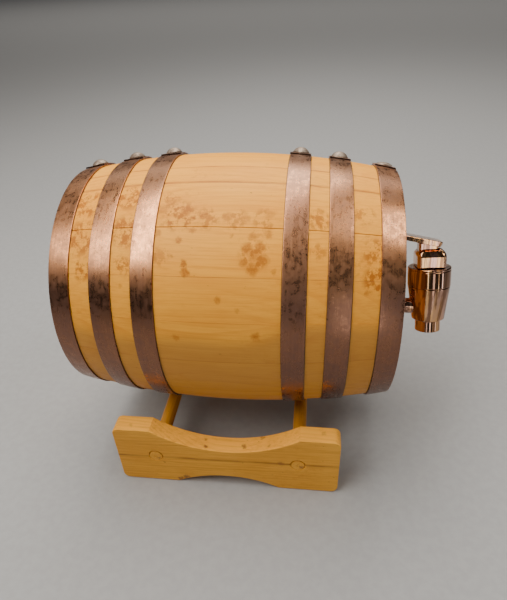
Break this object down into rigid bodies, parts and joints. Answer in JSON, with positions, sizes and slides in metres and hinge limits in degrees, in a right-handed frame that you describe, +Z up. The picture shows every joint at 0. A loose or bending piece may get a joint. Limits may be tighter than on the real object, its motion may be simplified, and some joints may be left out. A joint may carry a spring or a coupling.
{
  "type": "small wooden barrel with tap and cradle",
  "caption": "Small varnished stave barrel with copper-coloured riveted hoops, bung and lever tap, lying on a two-board wooden cradle.",
  "frame": {"origin": "on the floor, at the centre of the whole object's outline seen from above", "axes": "+X along the barrel's axis, from the plain head to the head with the tap; +Y away from the side that is seen, across the stand's two boards; +Z up"},
  "size_m": [0.2782, 0.2016, 0.2246],
  "materials": {
    "stave_wood": "clear satin varnish over orange-tan wood with fine lengthwise grain",
    "head_wood": "clear satin varnish",
    "pin_wood": "bare",
    "hoop_copper": "antiqued copper plating, brushed around and mottled with dark specks",
    "rivet_metal": "dull grey-beige metal",
    "bung_wood": "clear satin varnish",
    "stand_wood": "clear satin varnish over yellow-tan wood",
    "dowel_wood": "clear satin varnish",
    "tap_metal": "polished rose-copper plating",
    "plug_metal": "machined",
    "screw_steel": "plated",
    "seal_rubber": "black, smooth",
    "washer_rubber": "black, matt",
    "nut_brass": "machined"
  },
  "bodies": {
    "stand": {"stand_board_near": "stand_wood", "stand_board_far": "stand_wood", "stand_dowel_rear": "dowel_wood", "stand_dowel_front": "dowel_wood"},
    "barrel": {"stave_01": "stave_wood", "stave_02": "stave_wood", "stave_03": "stave_wood", "stave_04": "stave_wood", "stave_05": "stave_wood", "stave_06": "stave_wood", "stave_07": "stave_wood", "stave_08": "stave_wood", "stave_09": "stave_wood", "stave_10": "stave_wood", "stave_11": "stave_wood", "stave_12": "stave_wood", "stave_13": "stave_wood", "stave_14": "stave_wood", "stave_15": "stave_wood", "stave_16": "stave_wood", "stave_17": "stave_wood", "stave_18": "stave_wood", "front_head_board_1": "head_wood", "front_head_board_2": "head_wood", "front_head_board_3": "head_wood", "rear_head_board_1": "head_wood", "rear_head_board_2": "head_wood", "rear_head_board_3": "head_wood", "front_head_pins": "pin_wood", "rear_head_pins": "pin_wood", "head_hoop_rear": "hoop_copper", "head_hoop_front": "hoop_copper", "quarter_hoop_rear": "hoop_copper", "quarter_hoop_front": "hoop_copper", "bilge_hoop_rear": "hoop_copper", "bilge_hoop_front": "hoop_copper", "hoop_rivets": "rivet_metal", "tap_body": "tap_metal", "tap_collar": "tap_metal", "tap_outer_washer": "washer_rubber", "tap_inner_washer": "washer_rubber", "tap_shank_nut": "nut_brass"},
    "bung": {"bung": "bung_wood"},
    "tap_valve": {"tap_plug": "plug_metal", "tap_seal_rings": "seal_rubber", "tap_lever": "tap_metal", "tap_lever_screw": "screw_steel"}
  },
  "joints": [
    {"name": "barrel_lift", "type": "slide", "parent": "stand", "child": "barrel", "axis": [0, 0, 1], "range_m": [0, 0.08]},
    {"name": "bung_pull", "type": "slide", "parent": "barrel", "child": "bung", "axis": [0, 0.6756, 0.7373], "range_m": [0, 0.03]},
    {"name": "tap_turn", "type": "hinge", "parent": "barrel", "child": "tap_valve", "pos_m": [0.12429, -0.00603, 0.11088], "axis": [-0.061, 0.3167, 0.9466], "range_deg": [0, 90]}
  ]
}
